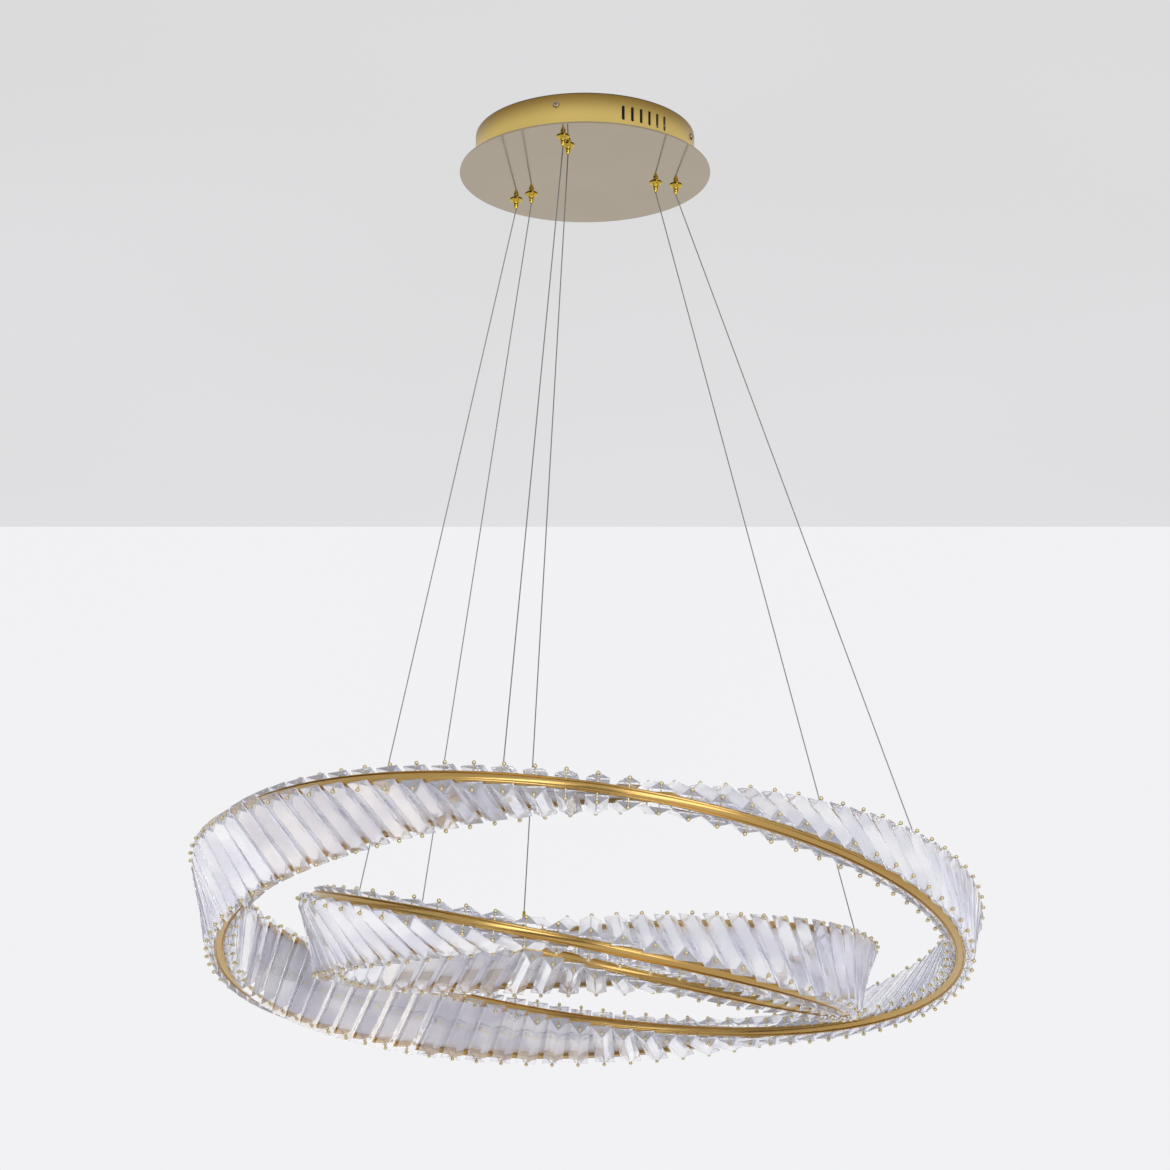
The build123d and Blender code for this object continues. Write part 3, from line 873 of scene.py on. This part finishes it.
def backdropFinish(tree, surface):
    # the plane shows from the lamp's side only
    clear = addNode(tree, "ShaderNodeBsdfTransparent")
    back = addNode(tree, "ShaderNodeNewGeometry")
    mixed = addNode(
        tree,
        "ShaderNodeMixShader",
        {},
        {0: back.outputs["Backfacing"], 1: surface, 2: clear.outputs[0]},
    )
    closeMaterial(tree, mixed.outputs[0])


def plasterMaterial(name, axis, places, tones, shaded=0.0):
    # smooth painted plaster; the drift of its tone from one place on an axis to another is
    # painted light, the room's light falling unevenly on it, with a slow random wander added;
    # where the canopy covers it, a painted shade makes it dark to the eye, and it gives half
    # its light to other things
    material, tree = newMaterial(name)
    place = addNode(tree, "ShaderNodeTexCoord")
    axes = addNode(tree, "ShaderNodeSeparateXYZ", {}, {"Vector": place.outputs["Object"]})
    slope = addNode(
        tree,
        "ShaderNodeMapRange",
        {"From Min": places[0], "From Max": places[1], "To Min": 0.15, "To Max": 0.85},
        {"Value": axes.outputs[axis]},
    )
    drift = noiseNode(tree, place.outputs["Object"], 1.3, 1.0)
    level = addNode(
        tree,
        "ShaderNodeMapRange",
        {"To Min": -0.4, "To Max": 0.4},
        {"Value": drift.outputs["Fac"]},
    )
    both = addNode(
        tree,
        "ShaderNodeMath",
        {"operation": "ADD", "use_clamp": True},
        {0: slope.outputs[0], 1: level.outputs[0]},
    )
    tone = addNode(tree, "ShaderNodeMix", {"data_type": "RGBA"}, {0: both.outputs[0]})
    tone.inputs[6].default_value = toLinear(tones[0])
    tone.inputs[7].default_value = toLinear(tones[1])
    away = addNode(
        tree,
        "ShaderNodeVectorMath",
        {"operation": "LENGTH"},
        {0: place.outputs["Object"]},
    )
    light = addNode(tree, "ShaderNodeLightPath")
    bounced = addNode(
        tree,
        "ShaderNodeMath",
        {"operation": "MAXIMUM"},
        {0: light.outputs["Is Diffuse Ray"], 1: light.outputs["Is Glossy Ray"]},
    )
    dim = addNode(
        tree,
        "ShaderNodeMapRange",
        {"To Min": 0.02, "To Max": 0.5},
        {"Value": bounced.outputs[0]},
    )
    lit = addNode(
        tree,
        "ShaderNodeMapRange",
        {"From Min": shaded, "From Max": shaded + 0.001},
        {"Value": away.outputs["Value"], "To Min": dim.outputs[0]},
    )
    glow = addNode(
        tree,
        "ShaderNodeEmission",
        {},
        {"Color": tone.outputs[2], "Strength": lit.outputs[0]},
    )
    backdropFinish(tree, glow.outputs[0])
    return material


def floorMaterial():
    # matt vinyl: it takes the lamps' shadows, with a lift for camera, metal and glass
    material, tree = newMaterial("mattVinyl")
    vinyl = addNode(
        tree,
        "ShaderNodeBsdfPrincipled",
        {"Base Color": toLinear(roomSettings["floor"]), "Roughness": 0.7},
    )
    light = addNode(tree, "ShaderNodeLightPath")
    seen = addNode(
        tree,
        "ShaderNodeMath",
        {"operation": "MAXIMUM"},
        {0: light.outputs["Is Camera Ray"], 1: light.outputs["Is Glossy Ray"]},
    )
    either = addNode(
        tree,
        "ShaderNodeMath",
        {"operation": "MAXIMUM"},
        {0: seen.outputs[0], 1: light.outputs["Is Transmission Ray"]},
    )
    lift = addNode(
        tree,
        "ShaderNodeMath",
        {"operation": "MULTIPLY", 1: roomSettings["floorLift"]},
        {0: either.outputs[0]},
    )
    glow = addNode(
        tree,
        "ShaderNodeEmission",
        {"Color": toLinear(roomSettings["floor"])},
        {"Strength": lift.outputs[0]},
    )
    both = addNode(tree, "ShaderNodeAddShader", {}, {0: vinyl.outputs[0], 1: glow.outputs[0]})
    backdropFinish(tree, both.outputs[0])
    return material


def roomPlane(name, width, depth, matrix, material):
    bm = bmesh.new()
    bmesh.ops.create_grid(bm, x_segments=1, y_segments=1, size=0.5)
    bmesh.ops.scale(bm, vec=(width, depth, 1), verts=bm.verts)
    bmesh.ops.transform(bm, matrix=matrix, verts=bm.verts)
    mesh = modelMesh(bm, name)
    mesh.materials.append(material)
    plane = bpy.data.objects.new(name, mesh)
    bpy.context.scene.collection.objects.link(plane)
    return plane


reach = roomSettings["reach"]
wallPlace = roomSettings["wallPlace"]
floorLevel = roomSettings["floorLevel"]
faceDown = Matrix.Rotation(math.pi, 4, "X")
ceilingMatrix = Matrix.Translation((0, wallPlace - reach / 2, 0.0005)) @ faceDown
# painted light: the ceiling is darker near the camera and lighter towards the wall
ceilingTones = (roomSettings["ceilingNear"], roomSettings["ceilingFar"])
ceilingPaint = plasterMaterial("ceilingPlaster", "Y", (-0.4, wallPlace), ceilingTones, 0.117)
roomPlane("ceilingPlane", reach, reach, ceilingMatrix, ceilingPaint)
upright = Matrix.Rotation(math.pi / 2, 4, "X")
wallMatrix = Matrix.Translation((0, wallPlace, floorLevel / 2)) @ upright
wallTones = (roomSettings["wallLow"], roomSettings["wallTop"])
wallPaint = plasterMaterial("wallPlaster", "Z", (floorLevel, 0.0), wallTones)
roomPlane("wallPlane", reach, -floorLevel, wallMatrix, wallPaint)
floorMatrix = Matrix.Translation((0, wallPlace - reach / 2, floorLevel))
roomPlane("floorPlane", reach, reach, floorMatrix, floorMaterial())

# beyond the room: an even, pale grey light
world = bpy.data.worlds.new("studio")
world.use_nodes = True
tree = world.node_tree
tree.nodes.clear()
sky = addNode(tree, "ShaderNodeBackground", {"Color": toLinear("#E9E9EB"), "Strength": 0.9})
addNode(tree, "ShaderNodeOutputWorld", {}, {"Surface": sky.outputs[0]})
bpy.context.scene.world = world

lampSettings = [
    ("keyLamp", (-1.2, -3.4, -0.4), 1.6, 26.0),
    ("fillLamp", (1.4, -3.3, -1.1), 1.8, 30.0),
]
for name, place, size, power in lampSettings:
    lampData = bpy.data.lights.new(name, "AREA")
    lampData.size = size
    lampData.energy = power
    lamp = bpy.data.objects.new(name, lampData)
    lamp.location = place
    aim = (Vector((0, 0, -0.7)) - Vector(place)).to_track_quat("-Z", "Y")
    lamp.rotation_euler = aim.to_euler()
    bpy.context.scene.collection.objects.link(lamp)

# felt flags behind the camera, under it and at both sides: only reflections show them,
# and the left one also takes some light from matt surfaces
flagSettings = [
    ("backFlag", (0, -6.0, -1.3), 7.0, 1.8, 90, 0, "#6E6A64"),
    ("leftFlag", (-3.4, -0.6, -1.2), 3.2, 1.9, 90, -90, "#6A6560"),
    ("rightFlag", (3.4, -0.6, -1.2), 3.2, 1.9, 90, 90, "#77726C"),
    ("floorFlag", (0, -5.2, -2.38), 7.0, 3.4, 0, 0, "#4E4A42"),
]
for name, place, width, height, raised, turn, tone in flagSettings:
    flagMaterial, tree = newMaterial(name + "Felt")
    felt = addNode(tree, "ShaderNodeEmission", {"Color": toLinear(tone), "Strength": 1.0})
    closeMaterial(tree, felt.outputs[0])
    stand = Matrix.Translation(place) @ Matrix.Rotation(math.radians(turn), 4, "Z")
    lifted = Matrix.Rotation(math.radians(raised), 4, "X")
    flag = roomPlane(name, width, height, stand @ lifted, flagMaterial)
    flag.visible_camera = False
    flag.visible_diffuse = name == "leftFlag"
    flag.visible_transmission = False
    flag.visible_shadow = False
print("room and lamps set")

bpy.context.scene.view_settings.view_transform = "Standard"
